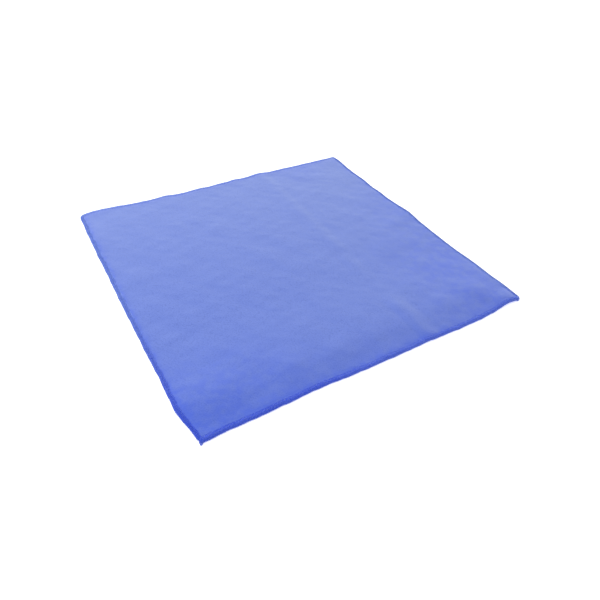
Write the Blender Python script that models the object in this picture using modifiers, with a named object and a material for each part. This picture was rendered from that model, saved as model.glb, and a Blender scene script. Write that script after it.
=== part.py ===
"""A square microfibre cleaning cloth, lying open and a little uneven on a flat surface.

Metres, +Z up. The origin is the middle of the square, on the surface that the cloth lies on.
The front edge faces -Y and the left edge faces -X. The cloth is one piece of short-pile fabric
with a thinner, overlocked rim all round. Its underside is flat where it touches the surface,
and low folds and humps lift it elsewhere.
"""

from collections import namedtuple
import math

import bmesh
import bpy

MM = 0.001

# Driving dimensions
SIDE = 400 * MM
THICKNESS = 2.6 * MM
RIM_THICKNESS = 2.0 * MM
RIM_WIDTH = 4.5 * MM
RIM_STEP = 3.0 * MM
RIM_ROUNDING = 0.7 * MM
RIM_ROUNDING_STEPS = 2
EDGE_WAVE_REACH = 70 * MM

HALF = SIDE / 2
BLUE = (0.075, 0.125, 0.60, 1.0)

# Grid lines across the cloth, closer together where it is creased. Each span runs from the end
# of the one before it, and the first starts where the rim has reached the full thickness.
Span = namedtuple("Span", "end cells")
INNER = HALF / MM - (RIM_WIDTH + RIM_STEP) / MM
COLUMN_SPANS = (
    Span(end=-145, cells=5),
    Span(end=34, cells=14),
    Span(end=94, cells=12),
    Span(end=150, cells=6),
    Span(end=INNER, cells=7),
)
ROW_SPANS = (
    Span(end=-115, cells=13),
    Span(end=-60, cells=6),
    Span(end=130, cells=14),
    Span(end=INNER, cells=6),
)

# How far each edge bows out of the true square, in millimetres. A wave is a soft bump along
# its edge, centred at that X (front and back) or Y (left and right); inward is negative.
EdgeWave = namedtuple("EdgeWave", "edge centre half_length outward")
EDGE_WAVES = (
    EdgeWave("front", centre=-194, half_length=40, outward=1.6),
    EdgeWave("front", centre=-146, half_length=34, outward=0.8),
    EdgeWave("front", centre=-72, half_length=46, outward=-1.4),
    EdgeWave("front", centre=50, half_length=20, outward=-0.5),
    EdgeWave("front", centre=112, half_length=40, outward=0.6),
    EdgeWave("front", centre=186, half_length=50, outward=-3.6),
    EdgeWave("left", centre=-200, half_length=42, outward=-6.6),
    EdgeWave("left", centre=-115, half_length=36, outward=-0.6),
    EdgeWave("left", centre=5, half_length=70, outward=0.4),
    EdgeWave("left", centre=100, half_length=25, outward=0.4),
    EdgeWave("left", centre=190, half_length=40, outward=-1.0),
    EdgeWave("back", centre=-204, half_length=16, outward=-2.6),
    EdgeWave("back", centre=-171, half_length=58, outward=4.8),
    EdgeWave("back", centre=-80, half_length=18, outward=1.6),
    EdgeWave("back", centre=-58, half_length=30, outward=-2.2),
    EdgeWave("back", centre=-16, half_length=22, outward=-1.3),
    EdgeWave("back", centre=24, half_length=16, outward=1.4),
    EdgeWave("back", centre=62, half_length=30, outward=1.8),
    EdgeWave("back", centre=67, half_length=14, outward=1.6),
    EdgeWave("back", centre=102, half_length=18, outward=0.7),
    EdgeWave("right", centre=-150, half_length=30, outward=-0.9),
    EdgeWave("right", centre=-85, half_length=38, outward=-0.9),
    EdgeWave("right", centre=-30, half_length=14, outward=0.7),
    EdgeWave("right", centre=12, half_length=50, outward=2.6),
    EdgeWave("right", centre=72, half_length=16, outward=0.7),
    EdgeWave("right", centre=92, half_length=16, outward=-0.6),
    EdgeWave("right", centre=116, half_length=22, outward=0.9),
    EdgeWave("right", centre=186, half_length=36, outward=2.2),
)

# Where each corner's point goes from the crossing of its two edges, in millimetres: a rounded
# corner is drawn in towards the middle, and one with a thread tail reaches out.
Corner = namedtuple("Corner", "column row shift_x shift_y")
CORNERS = (
    Corner(column=-1, row=-1, shift_x=0.6, shift_y=-1.6),
    Corner(column=1, row=-1, shift_x=-2.0, shift_y=0.4),
    Corner(column=1, row=1, shift_x=-0.5, shift_y=-0.5),
    Corner(column=-1, row=1, shift_x=1.4, shift_y=-1.4),
)

# Long folds that lift the cloth, in millimetres. Left and right are as seen looking from the
# start to the end; a fold rises and fades over its fade length at both ends.
Fold = namedtuple("Fold", "start_x start_y end_x end_y left_width right_width fade height")
FOLDS = (
    Fold(65, -212, 63, -120, left_width=13, right_width=18, fade=24, height=1.1),
    Fold(64, -82, 62, -28, left_width=14, right_width=14, fade=22, height=0.5),
    Fold(67, -36, 66, 216, left_width=22, right_width=14, fade=40, height=0.6),
    Fold(-230, -163, 230, -163, left_width=100, right_width=40, fade=60, height=2.3),
    Fold(183, -215, 187, -172, left_width=34, right_width=18, fade=20, height=1.8),
    Fold(116, -16, 208, 4, left_width=22, right_width=22, fade=30, height=0.6),
    Fold(-4, -2, 62, 14, left_width=16, right_width=14, fade=18, height=0.3),
    Fold(-194, 46, -98, 26, left_width=18, right_width=16, fade=30, height=0.2),
    Fold(98, 168, 176, 140, left_width=15, right_width=13, fade=26, height=0.3),
)

# Rounded humps that lift the cloth, in millimetres.
Hump = namedtuple("Hump", "x y radius_x radius_y height")
HUMPS = (
    Hump(x=-168, y=-156, radius_x=52, radius_y=36, height=1.4),
    Hump(x=-82, y=-158, radius_x=26, radius_y=24, height=0.8),
    Hump(x=-30, y=-168, radius_x=26, radius_y=20, height=0.5),
    Hump(x=16, y=-164, radius_x=24, radius_y=20, height=0.4),
    Hump(x=112, y=-160, radius_x=26, radius_y=24, height=0.7),
    Hump(x=156, y=-158, radius_x=30, radius_y=30, height=1.2),
    Hump(x=104, y=-126, radius_x=26, radius_y=24, height=0.4),
    Hump(x=138, y=-38, radius_x=46, radius_y=38, height=0.7),
    Hump(x=206, y=8, radius_x=28, radius_y=30, height=1.2),
    Hump(x=-60, y=-12, radius_x=24, radius_y=20, height=0.3),
    Hump(x=-186, y=142, radius_x=36, radius_y=52, height=0.9),
    Hump(x=-70, y=120, radius_x=18, radius_y=16, height=0.3),
    Hump(x=-56, y=90, radius_x=18, radius_y=16, height=0.3),
    Hump(x=80, y=102, radius_x=24, radius_y=18, height=0.3),
    Hump(x=132, y=36, radius_x=28, radius_y=22, height=0.3),
    Hump(x=182, y=80, radius_x=22, radius_y=24, height=0.3),
)


def soft_bump(distance):
    """A smooth hill: 1 at no distance, and level again at 0 from a distance of 1 outwards."""
    return 0.5 + 0.5 * math.cos(math.pi * min(abs(distance), 1.0))


def line_positions(spans):
    """The grid lines of one direction in metres, with the rim's own two lines at both ends."""
    lines = [-HALF, -HALF + RIM_WIDTH, -INNER * MM]
    start = -INNER
    for span in spans:
        step = (span.end - start) / span.cells
        lines += [(start + step * count) * MM for count in range(1, span.cells + 1)]
        start = span.end
    lines += [HALF - RIM_WIDTH, HALF]
    return lines


def edge_offset(edge, along):
    """How far an edge bows outwards at a place along it, in metres."""
    waves = [wave for wave in EDGE_WAVES if wave.edge == edge]
    return MM * sum(
        wave.outward * soft_bump((along / MM - wave.centre) / wave.half_length)
        for wave in waves
    )


def edge_share(distance):
    """How much of an edge's bow a point takes: all at the edge, none EDGE_WAVE_REACH inside."""
    return max(0.0, 1.0 - distance / EDGE_WAVE_REACH) ** 2


def outline_shift(x, y):
    """How far a point of the true square moves in the plane, to follow the uneven edges."""
    shift_x = (
        edge_offset("right", y) * edge_share(HALF - x)
        - edge_offset("left", y) * edge_share(HALF + x)
    )
    shift_y = (
        edge_offset("back", x) * edge_share(HALF - y)
        - edge_offset("front", x) * edge_share(HALF + y)
    )
    for corner in CORNERS:
        reach_x = (HALF - corner.column * x) / RIM_WIDTH
        reach_y = (HALF - corner.row * y) / RIM_WIDTH
        share = max(0.0, 1.0 - reach_x) * max(0.0, 1.0 - reach_y)
        shift_x += corner.shift_x * MM * share
        shift_y += corner.shift_y * MM * share
    return shift_x, shift_y


def fold_lift(fold, x, y):
    """The height in millimetres that one fold gives at a place in millimetres."""
    run_x = fold.end_x - fold.start_x
    run_y = fold.end_y - fold.start_y
    length = math.hypot(run_x, run_y)
    from_x = x - fold.start_x
    from_y = y - fold.start_y
    along = (from_x * run_x + from_y * run_y) / length
    to_left = (run_x * from_y - run_y * from_x) / length
    width = fold.left_width if to_left > 0 else fold.right_width
    inside = min(along, length - along)
    if inside <= 0:
        return 0.0
    return fold.height * soft_bump(to_left / width) * soft_bump(max(0.0, 1 - inside / fold.fade))


def hump_lift(hump, x, y):
    """The height in millimetres that one hump gives at a place in millimetres."""
    away = math.hypot((x - hump.x) / hump.radius_x, (y - hump.y) / hump.radius_y)
    return hump.height * soft_bump(away)


def lift(x, y):
    """How far the underside stands off the surface, in metres."""
    x_mm = x / MM
    y_mm = y / MM
    folds = sum(fold_lift(fold, x_mm, y_mm) for fold in FOLDS)
    humps = sum(hump_lift(hump, x_mm, y_mm) for hump in HUMPS)
    return MM * (folds + humps)


def clear_objects():
    for old in list(bpy.data.objects):
        bpy.data.objects.remove(old, do_unlink=True)


def make_cloth_material():
    """Matt blue microfibre, a little fuzzy."""
    material = bpy.data.materials.new("blue_microfibre")
    material.use_nodes = True
    shader = material.node_tree.nodes["Principled BSDF"]
    shader.inputs["Base Color"].default_value = BLUE
    shader.inputs["Roughness"].default_value = 0.95
    shader.inputs["Metallic"].default_value = 0.0
    shader.inputs["Sheen Weight"].default_value = 0.6
    material.diffuse_color = BLUE
    return material


def make_underside(name):
    """The underside of the cloth: a grid of uneven spacing, bowed at its edges and lifted."""
    columns = line_positions(COLUMN_SPANS)
    rows = line_positions(ROW_SPANS)
    shape = bmesh.new()
    bmesh.ops.create_grid(
        shape,
        x_segments=len(columns) - 1,
        y_segments=len(rows) - 1,
        size=HALF,
    )
    full_thickness = []
    for vertex in shape.verts:
        column = round((vertex.co.x + HALF) / SIDE * (len(columns) - 1))
        row = round((vertex.co.y + HALF) / SIDE * (len(rows) - 1))
        x = columns[column]
        y = rows[row]
        if max(abs(x), abs(y)) < HALF - RIM_WIDTH - RIM_STEP / 2:
            full_thickness.append(vertex.index)
        shift_x, shift_y = outline_shift(x, y)
        vertex.co = (x + shift_x, y + shift_y, lift(x, y))
    mesh = bpy.data.meshes.new(name)
    shape.to_mesh(mesh)
    shape.free()
    return mesh, full_thickness


def make_cloth(collection):
    """The cloth: its underside thickened upwards, less so at the pressed rim, with soft edges."""
    mesh, full_thickness = make_underside("cloth")
    mesh.materials.append(make_cloth_material())
    mesh.shade_smooth()
    cloth = bpy.data.objects.new("cloth", mesh)
    collection.objects.link(cloth)

    body = cloth.vertex_groups.new(name="full_thickness")
    body.add(full_thickness, 1.0, "REPLACE")

    thicken = cloth.modifiers.new("pile_thickness", "SOLIDIFY")
    thicken.thickness = THICKNESS
    thicken.offset = 1.0
    thicken.vertex_group = body.name
    thicken.thickness_vertex_group = RIM_THICKNESS / THICKNESS

    rounding = cloth.modifiers.new("soft_rim", "BEVEL")
    rounding.width = RIM_ROUNDING
    rounding.segments = RIM_ROUNDING_STEPS
    rounding.limit_method = "ANGLE"
    rounding.angle_limit = math.radians(50)
    return cloth


def main():
    clear_objects()
    collection = bpy.data.collections.new("microfibre_cloth")
    bpy.context.scene.collection.children.link(collection)
    make_cloth(collection)


main()
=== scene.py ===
"""Looks of a square microfibre cleaning cloth, lying open on a pale floor.

The cloth is a fine sheet on the folds of its solid, with short looped pile in its material. The
overlock stitching round its pressed rim is modelled thread by thread. Metres, +Z up.
"""

from collections import namedtuple
import math

import bmesh
import bpy
from mathutils import Matrix
import numpy as np


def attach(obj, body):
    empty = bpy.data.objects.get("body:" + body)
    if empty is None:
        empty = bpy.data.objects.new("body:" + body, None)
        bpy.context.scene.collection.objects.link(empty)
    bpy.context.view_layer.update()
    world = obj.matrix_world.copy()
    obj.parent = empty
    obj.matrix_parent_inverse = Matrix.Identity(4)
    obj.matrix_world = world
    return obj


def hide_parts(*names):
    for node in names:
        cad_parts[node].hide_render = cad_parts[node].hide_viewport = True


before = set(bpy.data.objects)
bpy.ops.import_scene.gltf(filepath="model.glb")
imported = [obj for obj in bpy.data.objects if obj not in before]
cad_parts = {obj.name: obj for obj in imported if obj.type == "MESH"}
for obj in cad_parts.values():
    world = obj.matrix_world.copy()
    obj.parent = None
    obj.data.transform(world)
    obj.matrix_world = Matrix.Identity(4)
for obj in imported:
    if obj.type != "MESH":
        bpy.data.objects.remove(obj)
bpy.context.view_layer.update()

MM = 0.001
NEARLY_ZERO = 1e-12

# The cloth, as in its solid
SIDE = 400 * MM
THICKNESS = 2.6 * MM
RIM_WIDTH = 4.5 * MM
RIM_STEP = 3.0 * MM
EDGE_WAVE_REACH = 70 * MM
HALF = SIDE / 2

# The fine sheet. Its rim is thinner than the solid's, to leave room for the threads on it.
CLOTH_NAME = "microfibre_cloth"
SHEET_RIM_TOP = 1.6 * MM
SHEET_RIM_RISE = 0.5 * MM
SHEET_RIM_SPREAD = 0.35 * MM
SHEET_CORNER_RADIUS = 1.6 * MM
SLOPE_WIDTH = 6.5 * MM
RIM_LINES_MM = (0.45, 1.2, 2.0, 2.8, 3.6, 4.5, 5.2, 5.9, 6.7, 7.5)
MIDDLE_CELLS = 180
ROUNDING_WIDTH = 0.26 * MM
ROUNDING_SEGMENTS = 3
ROUNDING_LEAST_ANGLE = 50

# Painted shade on the pile: its colour deepens beside the rim and most in the corners, for the
# shade of the sloping hem, and a little all along the front, for the weaker light there
PILE_SHADE_ATTRIBUTE = "pile_painted_shade"
PILE_SHADE_FADE = 3.0 * MM
PILE_SHADE_FRONT_START = 130 * MM
PILE_SHADE_FRONT_SHARE = 0.28

# Painted shade on the rim: its colour deepens along the front, and on the left edge towards the
# front left corner, the sides turned away from the light
RIM_SHADE_ATTRIBUTE = "rim_painted_shade"
RIM_SHADE_CORNER_START = 170 * MM
RIM_SHADE_FRONT_START = 165 * MM
RIM_SHADE_FRONT_SHARE = 0.72

# The overlock stitching. Its stitches differ a little: each slips along the rim by a share of
# the pitch, and is pulled in and rises by a share of its own size.
STITCH_PITCH = 1.5 * MM
STITCH_SLIP = 0.07
STITCH_PULL = 0.7 * STITCH_SLIP
STITCH_RISE_RANGE = (0.85, 1.15)
LOOPER_RADIUS = 0.27 * MM
NEEDLE_RADIUS = 0.17 * MM
EDGE_LOOP_RADIUS = 0.22 * MM
TUBE_RESOLUTION = 1

# How far each edge bows out of the true square, in millimetres. A wave is a soft bump along
# its edge, centred at that X (front and back) or Y (left and right); inward is negative.
EdgeWave = namedtuple("EdgeWave", "edge centre half_length outward")
EDGE_WAVES = (
    EdgeWave("front", centre=-194, half_length=40, outward=1.6),
    EdgeWave("front", centre=-146, half_length=34, outward=0.8),
    EdgeWave("front", centre=-72, half_length=46, outward=-1.4),
    EdgeWave("front", centre=50, half_length=20, outward=-0.5),
    EdgeWave("front", centre=112, half_length=40, outward=0.6),
    EdgeWave("front", centre=186, half_length=50, outward=-3.6),
    EdgeWave("left", centre=-200, half_length=42, outward=-6.6),
    EdgeWave("left", centre=-115, half_length=36, outward=-0.6),
    EdgeWave("left", centre=5, half_length=70, outward=0.4),
    EdgeWave("left", centre=100, half_length=25, outward=0.4),
    EdgeWave("left", centre=190, half_length=40, outward=-1.0),
    EdgeWave("back", centre=-204, half_length=16, outward=-2.6),
    EdgeWave("back", centre=-171, half_length=58, outward=4.8),
    EdgeWave("back", centre=-80, half_length=18, outward=1.6),
    EdgeWave("back", centre=-58, half_length=30, outward=-2.2),
    EdgeWave("back", centre=-16, half_length=22, outward=-1.3),
    EdgeWave("back", centre=24, half_length=16, outward=1.4),
    EdgeWave("back", centre=62, half_length=30, outward=1.8),
    EdgeWave("back", centre=67, half_length=14, outward=1.6),
    EdgeWave("back", centre=102, half_length=18, outward=0.7),
    EdgeWave("right", centre=-150, half_length=30, outward=-0.9),
    EdgeWave("right", centre=-85, half_length=38, outward=-0.9),
    EdgeWave("right", centre=-30, half_length=14, outward=0.7),
    EdgeWave("right", centre=12, half_length=50, outward=2.6),
    EdgeWave("right", centre=72, half_length=16, outward=0.7),
    EdgeWave("right", centre=92, half_length=16, outward=-0.6),
    EdgeWave("right", centre=116, half_length=22, outward=0.9),
    EdgeWave("right", centre=186, half_length=36, outward=2.2),
)

# Where each corner's point goes from the crossing of its two edges, in millimetres.
Corner = namedtuple("Corner", "column row shift_x shift_y")
CORNERS = (
    Corner(column=-1, row=-1, shift_x=1.4, shift_y=-0.2),
    Corner(column=1, row=-1, shift_x=-2.0, shift_y=0.4),
    Corner(column=1, row=1, shift_x=-0.5, shift_y=-0.5),
    Corner(column=-1, row=1, shift_x=1.4, shift_y=-1.4),
)

# Long folds that lift the cloth, in millimetres. Left and right are as seen looking from the
# start to the end; a fold rises and fades over its fade length at both ends.
Fold = namedtuple("Fold", "start_x start_y end_x end_y left_width right_width fade height")
FOLDS = (
    Fold(65, -212, 63, -120, left_width=13, right_width=18, fade=24, height=1.1),
    Fold(64, -82, 62, -28, left_width=14, right_width=14, fade=22, height=0.5),
    Fold(67, -36, 66, 216, left_width=22, right_width=14, fade=40, height=0.6),
    Fold(-230, -163, 230, -163, left_width=100, right_width=40, fade=60, height=2.3),
    Fold(183, -215, 187, -172, left_width=34, right_width=18, fade=20, height=1.8),
    Fold(116, -16, 208, 4, left_width=22, right_width=22, fade=30, height=0.6),
    Fold(-4, -2, 62, 14, left_width=16, right_width=14, fade=18, height=0.3),
    Fold(-194, 46, -98, 26, left_width=18, right_width=16, fade=30, height=0.2),
    Fold(98, 168, 176, 140, left_width=15, right_width=13, fade=26, height=0.3),
)

# Rounded humps that lift the cloth, in millimetres.
Hump = namedtuple("Hump", "x y radius_x radius_y height")
HUMPS = (
    Hump(x=-168, y=-156, radius_x=52, radius_y=36, height=1.4),
    Hump(x=-82, y=-158, radius_x=26, radius_y=24, height=0.8),
    Hump(x=-30, y=-168, radius_x=26, radius_y=20, height=0.5),
    Hump(x=16, y=-164, radius_x=24, radius_y=20, height=0.4),
    Hump(x=112, y=-160, radius_x=26, radius_y=24, height=0.7),
    Hump(x=156, y=-158, radius_x=30, radius_y=30, height=1.2),
    Hump(x=104, y=-126, radius_x=26, radius_y=24, height=0.4),
    Hump(x=138, y=-38, radius_x=46, radius_y=38, height=0.7),
    Hump(x=206, y=8, radius_x=28, radius_y=30, height=1.2),
    Hump(x=-60, y=-12, radius_x=24, radius_y=20, height=0.3),
    Hump(x=-186, y=142, radius_x=36, radius_y=52, height=0.9),
    Hump(x=-70, y=120, radius_x=18, radius_y=16, height=0.3),
    Hump(x=-56, y=90, radius_x=18, radius_y=16, height=0.3),
    Hump(x=80, y=102, radius_x=24, radius_y=18, height=0.3),
    Hump(x=132, y=36, radius_x=28, radius_y=22, height=0.3),
    Hump(x=182, y=80, radius_x=22, radius_y=24, height=0.3),
)

# Fine puckers of the overlocked rim, in millimetres: waves that run along every edge. They
# lift the rim, push it in and out, and die away over PUCKER_REACH. So that the edges differ,
# the waves start further on at each, by the edge's number times PUCKER_TURN.
Pucker = namedtuple("Pucker", "wavelength lift outward phase")
PUCKERS = (
    Pucker(wavelength=11.0, lift=0.10, outward=0.06, phase=0.0),
    Pucker(wavelength=17.3, lift=0.14, outward=0.10, phase=0.3),
    Pucker(wavelength=29.0, lift=0.16, outward=0.16, phase=0.7),
)
PUCKER_REACH = 16 * MM
PUCKER_TURN = 0.37
# For the lift, an edge's number is this plus 1 (right and back) or minus 1 (left and front).
LIFT_NUMBER_LEFT_RIGHT = 1.5
LIFT_NUMBER_FRONT_BACK = 0.2

# Soft unevenness of the pile's top: how long and how high its random waves are, and how far
# they turn to either side of RELIEF_HEADING, in degrees from +X. Each wave is longer or shorter
# than its row says by a factor from RELIEF_STRETCH_RANGE.
Relief = namedtuple("Relief", "wavelength height spread seed")
RELIEFS = (
    Relief(wavelength=9 * MM, height=0.03 * MM, spread=90, seed=3),
    Relief(wavelength=20 * MM, height=0.055 * MM, spread=65, seed=5),
    Relief(wavelength=46 * MM, height=0.11 * MM, spread=75, seed=8),
)
RELIEF_HEADING = 58
RELIEF_WAVES = 16
RELIEF_STRETCH_RANGE = (0.7, 1.4)

# Wide soft patches of painted shade, where the pile's colour deepens, in millimetres.
ShadePatch = namedtuple("ShadePatch", "x y radius_x radius_y share")
SHADE_PATCHES = (
    ShadePatch(x=-160, y=-156, radius_x=130, radius_y=80, share=0.50),
    ShadePatch(x=204, y=-150, radius_x=150, radius_y=130, share=0.95),
    ShadePatch(x=152, y=-75, radius_x=100, radius_y=90, share=0.46),
    ShadePatch(x=205, y=20, radius_x=110, radius_y=120, share=0.56),
    ShadePatch(x=130, y=190, radius_x=60, radius_y=60, share=0.50),
)

# How deep the stitches bite into the pile: slow waves round the rim. Their wavelengths are in
# millimetres, and their depths are shares of the rim's width.
Bite = namedtuple("Bite", "wavelength share phase")
BITES = (
    Bite(wavelength=12.3, share=0.04, phase=0.2),
    Bite(wavelength=19.7, share=0.06, phase=0.6),
    Bite(wavelength=41.0, share=0.06, phase=0.1),
)


def soft_bump(distance):
    """A smooth hill: 1 at no distance, and level again at 0 from a distance of 1 outwards."""
    return 0.5 + 0.5 * np.cos(np.pi * np.minimum(np.abs(distance), 1.0))


def smooth_step(share):
    """Rises smoothly from 0 to 1 as share does."""
    inside = np.clip(share, 0.0, 1.0)
    return inside * inside * (3 - 2 * inside)


def edge_distance(x, y):
    """How far inside the true square's nearest edge a place is."""
    return HALF - np.maximum(np.abs(x), np.abs(y))


def pucker_wave(along, turn, field):
    """The rim's fine puckers at places along an edge: their lift or their outward push."""
    total = np.zeros_like(along)
    for pucker in PUCKERS:
        angle = 2 * np.pi * (along / (pucker.wavelength * MM) + pucker.phase + turn)
        total += getattr(pucker, field) * MM * np.sin(angle)
    return total


def edge_offset(edge, along):
    """How far an edge bows outwards at places along it, in metres."""
    total = np.zeros_like(along)
    for wave in EDGE_WAVES:
        if wave.edge == edge:
            total += wave.outward * MM * soft_bump((along / MM - wave.centre) / wave.half_length)
    return total


def edge_share(distance, reach):
    """How much of an edge's offset a point takes: all at the edge, none reach inside it."""
    return np.clip(1.0 - np.maximum(distance, 0.0) / reach, 0.0, 1.0) ** 2


def round_corners(x, y):
    """Draws the square's four sharp corners in to arcs."""
    centre = HALF - SHEET_CORNER_RADIUS
    out_x = np.maximum(np.abs(x) - centre, 0.0)
    out_y = np.maximum(np.abs(y) - centre, 0.0)
    longer = np.maximum(out_x, out_y)
    scale = longer / np.maximum(np.hypot(out_x, out_y), NEARLY_ZERO)
    scale = np.where((out_x > 0) & (out_y > 0), scale, 1.0)
    round_x = np.where(out_x > 0, np.sign(x) * (centre + out_x * scale), x)
    round_y = np.where(out_y > 0, np.sign(y) * (centre + out_y * scale), y)
    return round_x, round_y


def in_plane(x, y):
    """Where places of the true square lie, with its uneven edges and its corners."""
    shift_x = np.zeros_like(x)
    shift_y = np.zeros_like(y)
    for number, (edge, along, distance, step_x, step_y) in enumerate((
        ("front", x, HALF + y, 0, -1),
        ("right", y, HALF - x, 1, 0),
        ("back", x, HALF - y, 0, 1),
        ("left", y, HALF + x, -1, 0),
    )):
        bow = edge_offset(edge, along) * edge_share(distance, EDGE_WAVE_REACH)
        pucker = pucker_wave(along, number * PUCKER_TURN, "outward")
        outward = bow + (pucker + SHEET_RIM_SPREAD) * edge_share(distance, PUCKER_REACH)
        shift_x += step_x * outward
        shift_y += step_y * outward
    for corner in CORNERS:
        reach_x = np.clip((HALF - corner.column * x) / RIM_WIDTH, 0.0, 1.0)
        reach_y = np.clip((HALF - corner.row * y) / RIM_WIDTH, 0.0, 1.0)
        share = (1.0 - reach_x) * (1.0 - reach_y)
        shift_x += corner.shift_x * MM * share
        shift_y += corner.shift_y * MM * share
    round_x, round_y = round_corners(x, y)
    return round_x + shift_x, round_y + shift_y


def fold_lift(fold, x, y):
    """The height in millimetres that one fold gives at places in millimetres."""
    run_x = fold.end_x - fold.start_x
    run_y = fold.end_y - fold.start_y
    length = math.hypot(run_x, run_y)
    from_x = x - fold.start_x
    from_y = y - fold.start_y
    along = (from_x * run_x + from_y * run_y) / length
    to_left = (run_x * from_y - run_y * from_x) / length
    width = np.where(to_left > 0, fold.left_width, fold.right_width)
    inside = np.clip(np.minimum(along, length - along), 0.0, fold.fade)
    return fold.height * soft_bump(to_left / width) * soft_bump(1 - inside / fold.fade)


def hump_lift(hump, x, y):
    """The height in millimetres that one hump gives at places in millimetres."""
    away = np.hypot((x - hump.x) / hump.radius_x, (y - hump.y) / hump.radius_y)
    return hump.height * soft_bump(away)


def rim_rise(distance):
    """How far the rim's underside is raised, to leave room for the threads under it."""
    return SHEET_RIM_RISE * (1 - smooth_step((distance - RIM_WIDTH) / RIM_STEP))


def underside(x, y):
    """How far the sheet's underside stands off the floor: folds, humps, puckers and its rim."""
    height = np.zeros_like(x)
    for fold in FOLDS:
        height += MM * fold_lift(fold, x / MM, y / MM)
    for hump in HUMPS:
        height += MM * hump_lift(hump, x / MM, y / MM)
    distance = edge_distance(x, y)
    beside = np.abs(x) > np.abs(y)
    along = np.where(beside, y, x)
    number = np.where(
        beside, np.sign(x) + LIFT_NUMBER_LEFT_RIGHT, np.sign(y) + LIFT_NUMBER_FRONT_BACK
    )
    wave = pucker_wave(along, number * PUCKER_TURN, "lift")
    highest = sum(pucker.lift for pucker in PUCKERS) * MM
    height += (wave + highest) / 2 * edge_share(distance, PUCKER_REACH)
    return height + rim_rise(distance)


def relief(x, y):
    """The soft random unevenness of the pile's top."""
    height = np.zeros_like(x)
    for entry in RELIEFS:
        draw = np.random.default_rng(entry.seed)
        turns = draw.uniform(-entry.spread, entry.spread, RELIEF_WAVES)
        headings = np.radians(RELIEF_HEADING + turns)
        phases = draw.uniform(0, 2 * np.pi, RELIEF_WAVES)
        stretches = draw.uniform(*RELIEF_STRETCH_RANGE, RELIEF_WAVES)
        for heading, phase, stretch in zip(headings, phases, stretches):
            forward = x * math.cos(heading) + y * math.sin(heading)
            angle = 2 * np.pi * forward / (entry.wavelength * stretch)
            height += entry.height * math.sqrt(2 / RELIEF_WAVES) * np.cos(angle + phase)
    return height


def sheet_thickness(x, y):
    """How thick the sheet is: its top curves up from the pressed rim to the full pile."""
    distance = edge_distance(x, y)
    full = 1 - np.clip(1 - distance / SLOPE_WIDTH, 0.0, 1.0) ** 2
    top = SHEET_RIM_TOP + (THICKNESS - SHEET_RIM_TOP) * full
    return top - rim_rise(distance) + full * relief(x, y)


def shade_patches(x, y):
    """How far the pile's colour deepens in the wide soft patches of painted shade."""
    total = np.zeros_like(x)
    for patch in SHADE_PATCHES:
        away = np.hypot((x / MM - patch.x) / patch.radius_x, (y / MM - patch.y) / patch.radius_y)
        total += patch.share * soft_bump(away)
    return total


def pile_painted_shade(x, y):
    """How far the pile's colour deepens as painted shade, from 0 to 1: beside the rim, most of
    all in the corners, a little all along the front, and in the wide soft patches."""
    from_column = np.maximum(HALF - np.abs(x), NEARLY_ZERO)
    from_row = np.maximum(HALF - np.abs(y), NEARLY_ZERO)
    inside = (from_column ** -2 + from_row ** -2) ** -0.5
    beside_rim = np.exp(-np.maximum(inside - RIM_WIDTH, 0.0) / PILE_SHADE_FADE)
    at_front = smooth_step((-y - PILE_SHADE_FRONT_START) / (HALF - PILE_SHADE_FRONT_START))
    return np.clip(beside_rim + PILE_SHADE_FRONT_SHARE * at_front + shade_patches(x, y), 0.0, 1.0)


def rim_painted_shade(x, y):
    """How far the rim's colour deepens as painted shade, from 0 to 1: along the front, and on
    the left edge towards the front left corner."""
    near_corner = smooth_step((-x - y - RIM_SHADE_CORNER_START) / (SIDE - RIM_SHADE_CORNER_START))
    near_front = smooth_step((-y - RIM_SHADE_FRONT_START) / (HALF - RIM_SHADE_FRONT_START))
    return np.clip(near_corner + RIM_SHADE_FRONT_SHARE * near_front, 0.0, 1.0)


def set_attribute(mesh, name, values):
    """Stores one number for each vertex, for the materials to read."""
    attribute = mesh.attributes.new(name, "FLOAT", "POINT")
    attribute.data.foreach_set("value", values)


def sheet_lines():
    """The grid lines of the fine sheet in one direction, close together at its rim."""
    rim = np.array(RIM_LINES_MM) * MM
    middle = np.linspace(rim[-1] - HALF, HALF - rim[-1], MIDDLE_CELLS + 1)
    return np.concatenate((-HALF + rim[:-1], middle, (HALF - rim[:-1])[::-1]))


def new_object(name, data):
    """A new object in the scene, from its mesh, curve, light or camera."""
    made = bpy.data.objects.new(name, data)
    bpy.context.scene.collection.objects.link(made)
    return made


def thicken(cloth, thickness):
    """Gives a sheet its thickness above each vertex, and a rounded edge."""
    thickest = float(thickness.max())
    weights = cloth.vertex_groups.new(name="thickness")
    for index, share in enumerate(thickness / thickest):
        weights.add((index,), float(share), "REPLACE")
    solidify = cloth.modifiers.new("pile_thickness", "SOLIDIFY")
    solidify.thickness = thickest
    solidify.offset = 1.0
    solidify.vertex_group = weights.name
    rounding = cloth.modifiers.new("soft_rim", "BEVEL")
    rounding.width = ROUNDING_WIDTH
    rounding.segments = ROUNDING_SEGMENTS
    rounding.limit_method = "ANGLE"
    rounding.angle_limit = math.radians(ROUNDING_LEAST_ANGLE)


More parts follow.
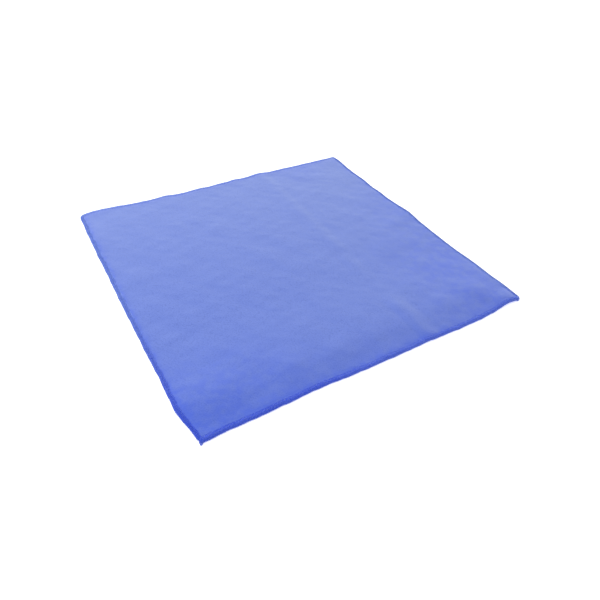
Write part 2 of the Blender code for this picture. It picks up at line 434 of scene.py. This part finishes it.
def make_cloth(pile, pressed):
    """The cloth as a fine closed sheet, its rim's faces in a material of their own."""
    lines = sheet_lines()
    cells = len(lines) - 1
    shape = bmesh.new()
    bmesh.ops.create_grid(shape, x_segments=cells, y_segments=cells, size=HALF)
    mesh = bpy.data.meshes.new(CLOTH_NAME)
    shape.to_mesh(mesh)
    shape.free()

    points = np.zeros(len(mesh.vertices) * 3)
    mesh.vertices.foreach_get("co", points)
    grid = np.rint((points.reshape(-1, 3)[:, :2] + HALF) / SIDE * cells).astype(int)
    x = lines[grid[:, 0]]
    y = lines[grid[:, 1]]
    flat_x, flat_y = in_plane(x, y)
    mesh.vertices.foreach_set("co", np.stack((flat_x, flat_y, underside(x, y)), 1).ravel())

    # Painted shade, for the pile's and the rim's materials to read
    set_attribute(mesh, PILE_SHADE_ATTRIBUTE, pile_painted_shade(x, y))
    set_attribute(mesh, RIM_SHADE_ATTRIBUTE, rim_painted_shade(x, y))
    mesh.materials.append(pile)
    mesh.materials.append(pressed)
    corners = np.zeros(len(mesh.loops), int)
    mesh.loops.foreach_get("vertex_index", corners)
    inside = edge_distance(x, y)[corners].reshape(-1, 4).mean(1)
    mesh.polygons.foreach_set("material_index", (inside < RIM_WIDTH).astype(int))
    mesh.shade_smooth()

    cloth = new_object(CLOTH_NAME, mesh)
    thicken(cloth, sheet_thickness(x, y))
    return cloth


def rim_place(along, inward):
    """Places of the true square from the way along its rim and the share of its width inside it.

    The way runs anticlockwise from the front left corner, so that it fans round each corner.
    """
    way = np.mod(along, 4 * SIDE)
    edge = np.minimum((way / SIDE).astype(int), 3)
    step = way - edge * SIDE - HALF
    far = np.full_like(step, HALF)
    outer_x = np.choose(edge, (step, far, -step, -far))
    outer_y = np.choose(edge, (-far, step, far, -step))
    inner = HALF - RIM_WIDTH
    inner_x = np.clip(outer_x, -inner, inner)
    inner_y = np.clip(outer_y, -inner, inner)
    return outer_x + (inner_x - outer_x) * inward, outer_y + (inner_y - outer_y) * inward


def stitch_bite(along):
    """How deep the stitches reach inwards at places round the rim, around 1."""
    total = np.ones_like(along)
    for bite in BITES:
        total += bite.share * np.sin(2 * np.pi * (along / (bite.wavelength * MM) + bite.phase))
    return total


def thread_points(along, inward, level, off):
    """Points of a thread on the rim. Level is 0 at the sheet's underside and 1 at its top; off
    is the distance above the place that level gives."""
    x, y = rim_place(along, inward)
    low = underside(x, y)
    thickness = sheet_thickness(x, y)
    flat_x, flat_y = in_plane(x, y)
    return np.stack((flat_x, flat_y, low + level * thickness + off), 1)


def make_thread(name, points, radius, material, closed=True):
    """A thread as a tube mesh through its points, six-sided."""
    curve = bpy.data.curves.new(name, "CURVE")
    curve.dimensions = "3D"
    curve.bevel_depth = radius
    curve.bevel_resolution = TUBE_RESOLUTION
    curve.use_fill_caps = not closed
    spline = curve.splines.new("POLY")
    spline.points.add(len(points) - 1)
    spline.points.foreach_set("co", np.c_[points, np.ones(len(points))].ravel())
    spline.use_cyclic_u = closed
    guide = new_object(name + "_guide", curve)
    bpy.context.view_layer.update()
    shaped = guide.evaluated_get(bpy.context.evaluated_depsgraph_get())
    mesh = bpy.data.meshes.new_from_object(shaped)
    bpy.data.objects.remove(guide)
    bpy.data.curves.remove(curve)
    mesh.name = name
    places = np.zeros(len(mesh.vertices) * 3)
    mesh.vertices.foreach_get("co", places)
    # The rim's painted shade, for the thread's material to read
    set_attribute(mesh, RIM_SHADE_ATTRIBUTE, rim_painted_shade(places[0::3], places[1::3]))
    mesh.materials.clear()
    mesh.materials.append(material)
    mesh.shade_smooth()
    return new_object(name, mesh)


# One stitch of each thread: how far along the pitch, how far in from the edge as a share of the
# rim's width, at which level of the sheet (0 underneath, 1 on top), and how far off that level
# in thread radii.
Station = namedtuple("Station", "along inward level off")
UPPER_LOOPER = (
    Station(0.00, 0.98, 1.0, -0.9),
    Station(0.05, 0.86, 1.0, 0.2),
    Station(0.22, 0.50, 1.0, 0.4),
    Station(0.40, 0.18, 1.0, 0.3),
    Station(0.46, 0.01, 0.8, 0.0),
    Station(0.50, -0.03, 0.5, 0.0),
    Station(0.54, 0.01, 0.8, 0.0),
    Station(0.60, 0.18, 1.0, 0.3),
    Station(0.78, 0.50, 1.0, 0.4),
    Station(0.95, 0.86, 1.0, 0.2),
)
LOWER_LOOPER = (
    Station(0.00, 1.00, 0.0, 0.4),
    Station(0.08, 0.85, 0.0, -0.7),
    Station(0.38, 0.16, 0.0, -0.7),
    Station(0.50, -0.01, 0.3, 0.0),
    Station(0.62, 0.16, 0.0, -0.7),
    Station(0.92, 0.85, 0.0, -0.7),
)
NEEDLE_THREAD = (
    Station(0.00, 1.00, 1.0, -1.6),
    Station(0.20, 1.00, 1.0, 0.1),
    Station(0.50, 1.00, 1.0, 0.6),
    Station(0.80, 1.00, 1.0, 0.1),
)
EDGE_LOOPS = (
    Station(0.00, 0.00, 0.95, 0.0),
    Station(0.12, 0.06, 1.05, 0.6),
    Station(0.30, 0.12, 1.00, 0.6),
    Station(0.42, 0.00, 0.85, 0.0),
    Station(0.55, -0.04, 0.35, 0.0),
    Station(0.68, 0.01, -0.10, 0.0),
    Station(0.80, -0.01, 0.10, 0.0),
    Station(0.92, -0.03, 0.60, 0.0),
)

# The threads that run all round the rim, and the seed of each one's unevenness
Thread = namedtuple("Thread", "name stations radius seed")
THREADS = (
    Thread("upper_looper_thread", UPPER_LOOPER, radius=LOOPER_RADIUS, seed=11),
    Thread("lower_looper_thread", LOWER_LOOPER, radius=LOOPER_RADIUS, seed=12),
    Thread("needle_thread", NEEDLE_THREAD, radius=NEEDLE_RADIUS, seed=13),
    Thread("edge_loop_thread", EDGE_LOOPS, radius=EDGE_LOOP_RADIUS, seed=14),
)


def stitch_round_the_rim(thread, material):
    """A thread that repeats its stitch all round the rim, each one a little different."""
    stitches = round(4 * SIDE / STITCH_PITCH)
    draw = np.random.default_rng(thread.seed)
    count = len(thread.stations)
    start = np.repeat(np.arange(stitches), count)
    station = Station(*np.tile(np.array(thread.stations), (stitches, 1)).T)
    slip = np.repeat(draw.normal(0, STITCH_SLIP, stitches), count)
    pull = np.repeat(draw.normal(1, STITCH_PULL, stitches), count)
    rise = np.repeat(draw.uniform(*STITCH_RISE_RANGE, stitches), count)
    along = (start + station.along + slip) * (4 * SIDE / stitches)
    inward = station.inward * pull * stitch_bite(along)
    points = thread_points(along, inward, station.level, station.off * thread.radius * rise)
    return make_thread(thread.name, points, thread.radius, material)


# Tails of chained thread at two corners, in millimetres: where each starts, the heading it
# leaves at in degrees from +X, how long and how wide it is, and how many turns it has. A tail
# is lumpy, and keeps a share of its width at its free end.
Tail = namedtuple("Tail", "name x y heading length radius turns")
TAILS = (
    Tail(
        "front_left_thread_tail",
        x=-189.8, y=-196.0, heading=-113, length=8.4, radius=2.3, turns=11,
    ),
    Tail(
        "front_right_thread_tail",
        x=192.8, y=-194.4, heading=-46, length=4.8, radius=2.2, turns=7,
    ),
)
TAIL_HEIGHT = 1.3 * MM
TAIL_STEPS = 12
TAIL_BLUNTNESS = 0.02
TAIL_LUMP_SHARE = 0.12
TAIL_LUMP_PACE = 2.3
TAIL_CLEARANCE = 1.3 * LOOPER_RADIUS


def make_tail(tail, material):
    """A short stub of chained thread: a helix that closes to a blunt point at its free end."""
    heading = math.radians(tail.heading)
    forward = np.array((math.cos(heading), math.sin(heading), 0.0))
    aside = np.array((-math.sin(heading), math.cos(heading), 0.0))
    upward = np.array((0.0, 0.0, 1.0))
    share = np.linspace(0, 1, tail.turns * TAIL_STEPS + 1)
    angle = 2 * np.pi * tail.turns * share
    closing = np.sqrt(np.clip(1 + TAIL_BLUNTNESS - share ** 3, TAIL_BLUNTNESS, 1))
    lumps = 1 + TAIL_LUMP_SHARE * np.sin(TAIL_LUMP_PACE * angle)
    reach = (tail.radius * MM - LOOPER_RADIUS) * closing * lumps
    highest = TAIL_HEIGHT - TAIL_CLEARANCE
    start = np.array((tail.x * MM, tail.y * MM, TAIL_HEIGHT))
    points = (
        start
        + np.outer(share * tail.length * MM, forward)
        + np.outer(reach * np.cos(angle), aside)
        + np.outer(np.minimum(reach, highest) * np.sin(angle), upward)
    )
    return make_thread(tail.name, points, LOOPER_RADIUS, material, closed=False)


WHITE = (1.0, 1.0, 1.0, 1.0)

# How a surface answers light, the same all over it.
Finish = namedtuple("Finish", "roughness specular sheen sheen_roughness sheen_tint")
PILE_FINISH = Finish(
    roughness=0.9,
    specular=0.15,
    sheen=1.0,
    sheen_roughness=0.6,
    sheen_tint=(0.64, 0.74, 0.93, 1.0),
)
RIM_FINISH = Finish(
    roughness=0.8,
    specular=0.15,
    sheen=0.9,
    sheen_roughness=0.6,
    sheen_tint=(0.56, 0.70, 0.96, 1.0),
)
FLOOR_FINISH = Finish(
    roughness=0.9, specular=0.0, sheen=0.0, sheen_roughness=0.5, sheen_tint=WHITE
)


def principled(name, finish):
    """A new material with its shader's finish set; returns it, its tree and its shader."""
    material = bpy.data.materials.new(name)
    material.use_nodes = True
    shader = material.node_tree.nodes["Principled BSDF"]
    shader.inputs["Roughness"].default_value = finish.roughness
    shader.inputs["Specular IOR Level"].default_value = finish.specular
    shader.inputs["Sheen Weight"].default_value = finish.sheen
    shader.inputs["Sheen Roughness"].default_value = finish.sheen_roughness
    shader.inputs["Sheen Tint"].default_value = finish.sheen_tint
    return material, material.node_tree, shader


def add_node(tree, kind, inputs=(), **settings):
    """A node with its settings and its unlinked inputs."""
    node = tree.nodes.new(kind)
    for setting, value in settings.items():
        setattr(node, setting, value)
    for name, value in inputs:
        node.inputs[name].default_value = value
    return node


def mix_colours(tree, factor, first, second):
    """A colour mix; first and second are each a colour or an output."""
    node = add_node(tree, "ShaderNodeMix", data_type="RGBA")
    tree.links.new(factor, node.inputs["Factor"])
    for name, value in (("A", first), ("B", second)):
        socket = [s for s in node.inputs if s.name == name and s.type == "RGBA"][0]
        if isinstance(value, bpy.types.NodeSocket):
            tree.links.new(value, socket)
        else:
            socket.default_value = value
    return [s for s in node.outputs if s.type == "RGBA"][0]


# A range of an output's values, and the range that it is mapped onto.
Spread = namedtuple("Spread", "low high to_low to_high", defaults=(0.0, 1.0))


def spread_range(tree, value, spread):
    """Maps an output onto another range, smoothly and clamped."""
    node = add_node(
        tree,
        "ShaderNodeMapRange",
        (
            ("From Min", spread.low),
            ("From Max", spread.high),
            ("To Min", spread.to_low),
            ("To Max", spread.to_high),
        ),
        interpolation_type="SMOOTHSTEP",
    )
    tree.links.new(value, node.inputs["Value"])
    return node.outputs["Result"]


def noise(tree, place, size, inputs=(), **settings):
    """A noise texture with features of one size."""
    node = add_node(tree, "ShaderNodeTexNoise", (("Scale", 1 / size), *inputs), **settings)
    tree.links.new(place, node.inputs["Vector"])
    return node


def bump(tree, height, strength, distance, invert=False):
    """A bump from an output; returns its node."""
    inputs = (("Strength", strength), ("Distance", distance))
    node = add_node(tree, "ShaderNodeBump", inputs, invert=invert)
    tree.links.new(height, node.inputs["Height"])
    return node


# The pile: its blues in linear light, with painted sheen on the tufts' tips and painted shade
# among them, and the sizes and shares of its patterns
TIP_BLUE = (0.084, 0.149, 0.606, 1.0)
# Painted shade: the darker blue between the tufts, under the tips' painted sheen
SHADED_GAP_BLUE = (0.049, 0.102, 0.495, 1.0)
PALE_TIP_BLUE = (0.095, 0.163, 0.626, 1.0)
# Painted shade: the darker blue that the pile takes beside the rim, in its corners, along the
# front and in the wide patches
SHADED_PILE_BLUE = (0.036, 0.094, 0.625, 1.0)
LOOP_SIZE = 1.0 * MM
LOOP_STRETCH = (1.0, 0.75, 0.6)
FIBRE_SIZE = 0.36 * MM
MOTTLE_SIZE = 28 * MM
PATCH_SIZE = 9 * MM
FIBRE_SHARE = 0.6
PALE_NAP = Spread(low=0.35, high=0.75, to_high=0.5)
TUFT_GAP_SHADE = Spread(low=0.35, high=1.05)
UNEVEN_SHADE = Spread(low=0.3, high=0.7, to_low=0.45, to_high=1.35)


def tuft_pattern(tree, place):
    """Ruffled and stretched cells, one for each loop of the pile: 0 in the middle of a tuft,
    and rising towards the gaps."""
    ruffle = noise(tree, place, 2 * LOOP_SIZE, (("Detail", 1.0),))
    push = add_node(tree, "ShaderNodeVectorMath", operation="MULTIPLY_ADD")
    push.inputs[1].default_value = (LOOP_SIZE, LOOP_SIZE, LOOP_SIZE)
    tree.links.new(ruffle.outputs["Color"], push.inputs[0])
    tree.links.new(place, push.inputs[2])
    stretch = add_node(tree, "ShaderNodeVectorMath", operation="MULTIPLY")
    stretch.inputs[1].default_value = LOOP_STRETCH
    tree.links.new(push.outputs["Vector"], stretch.inputs[0])
    tufts = add_node(
        tree,
        "ShaderNodeTexVoronoi",
        (("Scale", 1 / LOOP_SIZE), ("Smoothness", 0.35), ("Randomness", 1.0)),
        feature="SMOOTH_F1",
    )
    tree.links.new(stretch.outputs["Vector"], tufts.inputs["Vector"])
    return tufts.outputs["Distance"]


def make_pile_material():
    """Looped microfibre pile of fine fibres: tufts paler at their tips as painted sheen and
    darker between them as painted shade, a soft random mottle of the nap's own tone, and painted
    shade that darkens it beside the rim, along the front and in wide patches."""
    material, tree, shader = principled("microfibre_pile", PILE_FINISH)
    place = add_node(tree, "ShaderNodeTexCoord").outputs["Object"]
    tufts = tuft_pattern(tree, place)
    fibres = noise(
        tree,
        place,
        FIBRE_SIZE,
        (("Detail", 2.0), ("Roughness", 0.7), ("Distortion", 3.0)),
        noise_type="RIDGED_MULTIFRACTAL",
        normalize=True,
    )
    mottle = noise(tree, place, MOTTLE_SIZE, (("Detail", 3.0), ("Roughness", 0.55)))
    patches = noise(tree, place, PATCH_SIZE, (("Detail", 3.0),))

    ragged = add_node(tree, "ShaderNodeMath", operation="MULTIPLY_ADD")
    ragged.inputs[1].default_value = FIBRE_SHARE
    tree.links.new(fibres.outputs["Fac"], ragged.inputs[0])
    tree.links.new(tufts, ragged.inputs[2])
    nap = spread_range(tree, mottle.outputs["Fac"], PALE_NAP)
    tip_colour = mix_colours(tree, nap, TIP_BLUE, PALE_TIP_BLUE)
    # Painted shade between the tufts, and painted sheen on their tips
    gap_shade = spread_range(tree, ragged.outputs["Value"], TUFT_GAP_SHADE)
    tuft_colour = mix_colours(tree, gap_shade, tip_colour, SHADED_GAP_BLUE)

    # Painted shade: the pile's colour darkens by its shade attribute, unevenly by the patch
    # noise
    unevenness = spread_range(tree, patches.outputs["Fac"], UNEVEN_SHADE)
    shade_node = add_node(tree, "ShaderNodeAttribute", attribute_name=PILE_SHADE_ATTRIBUTE)
    share = add_node(tree, "ShaderNodeMath", operation="MULTIPLY", use_clamp=True)
    tree.links.new(shade_node.outputs["Fac"], share.inputs[0])
    tree.links.new(unevenness, share.inputs[1])
    tree.links.new(
        mix_colours(tree, share.outputs["Value"], tuft_colour, SHADED_PILE_BLUE),
        shader.inputs["Base Color"],
    )

    tuft_bump = bump(
        tree, ragged.outputs["Value"], strength=0.45, distance=0.30 * MM, invert=True
    )
    fibre_bump = bump(tree, fibres.outputs["Fac"], strength=0.7, distance=0.16 * MM)
    tree.links.new(tuft_bump.outputs["Normal"], fibre_bump.inputs["Normal"])
    tree.links.new(fibre_bump.outputs["Normal"], shader.inputs["Normal"])
    return material


# The overlocked rim: its blues in linear light, one of them painted shade for the front and the
# front left corner, and the fibre pattern of its threads and of the pile that they press down
THREAD_BLUE = (0.122, 0.200, 0.710, 1.0)
THREAD_SHADE_BLUE = (0.100, 0.172, 0.655, 1.0)
# Painted shade: the darker blue of the rim along the front and towards the front left corner
SHADED_THREAD_BLUE = (0.014, 0.056, 0.630, 1.0)
THREAD_TINT = Spread(low=0.3, high=0.7)
Stitched = namedtuple("Stitched", "name fibre_size distortion bump_distance")
OVERLOCK_THREAD = Stitched(
    "overlock_thread", fibre_size=0.30 * MM, distortion=1.0, bump_distance=0.08 * MM
)
PRESSED_PILE = Stitched(
    "pressed_pile", fibre_size=0.25 * MM, distortion=0.0, bump_distance=0.12 * MM
)


def make_stitched_material(stitched):
    """Polyester fibres of the overlocked rim: two blues in a fine fibre pattern, darker along
    the front and towards the front left corner as painted shade."""
    material, tree, shader = principled(stitched.name, RIM_FINISH)
    place = add_node(tree, "ShaderNodeTexCoord").outputs["Object"]
    inputs = (("Detail", 2.0), ("Distortion", stitched.distortion))
    fibres = noise(tree, place, stitched.fibre_size, inputs)
    tint = spread_range(tree, fibres.outputs["Fac"], THREAD_TINT)
    fibre_colour = mix_colours(tree, tint, THREAD_SHADE_BLUE, THREAD_BLUE)
    # Painted shade along the front and towards the front left corner
    shade_node = add_node(tree, "ShaderNodeAttribute", attribute_name=RIM_SHADE_ATTRIBUTE)
    tree.links.new(
        mix_colours(tree, shade_node.outputs["Fac"], fibre_colour, SHADED_THREAD_BLUE),
        shader.inputs["Base Color"],
    )
    relief_bump = bump(
        tree, fibres.outputs["Fac"], strength=0.5, distance=stitched.bump_distance
    )
    tree.links.new(relief_bump.outputs["Normal"], shader.inputs["Normal"])
    return material


FLOOR_SIZE = 6.0
FLOOR_DROP = 0.1 * MM
FLOOR_COLOUR = (0.97, 0.97, 0.97, 1.0)
FLOOR_GLOW = 0.5


def make_floor():
    """A plain pale floor that glows a little, a hair below the cloth."""
    bpy.ops.mesh.primitive_plane_add(size=FLOOR_SIZE, location=(0, 0, -FLOOR_DROP))
    floor = bpy.context.object
    floor.name = "floor"
    material, _, shader = principled("pale_floor", FLOOR_FINISH)
    shader.inputs["Base Color"].default_value = FLOOR_COLOUR
    shader.inputs["Emission Color"].default_value = WHITE
    shader.inputs["Emission Strength"].default_value = FLOOR_GLOW
    floor.data.materials.append(material)


# Soft square lamps that face the middle of the cloth, in metres and watts.
Lamp = namedtuple("Lamp", "name x y z size power colour")
LAMPS = (
    Lamp("back_window", x=-0.6, y=3.0, z=1.4, size=1.5, power=75.0, colour=(1.0, 1.0, 1.0)),
    Lamp("top_left_softbox", x=-0.6, y=0.0, z=0.8, size=0.6, power=3.5, colour=(1.0, 1.0, 0.88)),
)
SKY_STRENGTH = 0.61


def make_lights():
    """The lamps, and an even pale light from all round."""
    for lamp in LAMPS:
        light = bpy.data.lights.new(lamp.name, "AREA")
        light.energy = lamp.power
        light.size = lamp.size
        light.color = lamp.colour
        made = new_object(lamp.name, light)
        made.location = (lamp.x, lamp.y, lamp.z)
        made.rotation_euler = (-made.location).to_track_quat("-Z", "Y").to_euler()
        made.visible_camera = False
    world = bpy.data.worlds.new("pale_studio")
    bpy.context.scene.world = world
    world.use_nodes = True
    sky = world.node_tree.nodes["Background"]
    sky.inputs["Color"].default_value = WHITE
    sky.inputs["Strength"].default_value = SKY_STRENGTH


# The camera, in metres and degrees. Its heading is from +Y towards +X.
CAMERA_PLACE = (-0.2634, -0.4593, 0.3875)
CAMERA_HEADING = 32.17
CAMERA_DOWN = 40.86
CAMERA_ROLL = 2.94
CAMERA_LENS_MM = 31.77
CAMERA_SENSOR_MM = 36.0
CAMERA_NEAR = 10 * MM


def make_camera():
    """The photograph's view: from the front left, looking down at the near corner."""
    data = bpy.data.cameras.new("camera")
    data.sensor_width = CAMERA_SENSOR_MM
    data.lens = CAMERA_LENS_MM
    data.clip_start = CAMERA_NEAR
    camera = new_object("camera", data)
    turn = Matrix.Rotation(math.radians(-CAMERA_HEADING), 4, "Z")
    tilt = Matrix.Rotation(math.radians(90 - CAMERA_DOWN), 4, "X")
    roll = Matrix.Rotation(math.radians(CAMERA_ROLL), 4, "Z")
    camera.matrix_world = Matrix.Translation(CAMERA_PLACE) @ turn @ tilt @ roll
    bpy.context.scene.camera = camera


def main():
    make_camera()
    yarn = make_stitched_material(OVERLOCK_THREAD)
    pressed = make_stitched_material(PRESSED_PILE)
    cloth = make_cloth(make_pile_material(), pressed)
    threads = [stitch_round_the_rim(thread, yarn) for thread in THREADS]
    threads += [make_tail(tail, yarn) for tail in TAILS]
    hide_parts("cloth")
    for piece in [cloth, *threads]:
        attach(piece, "root")
    make_floor()
    make_lights()
    bpy.context.scene.view_settings.view_transform = "Standard"


main()
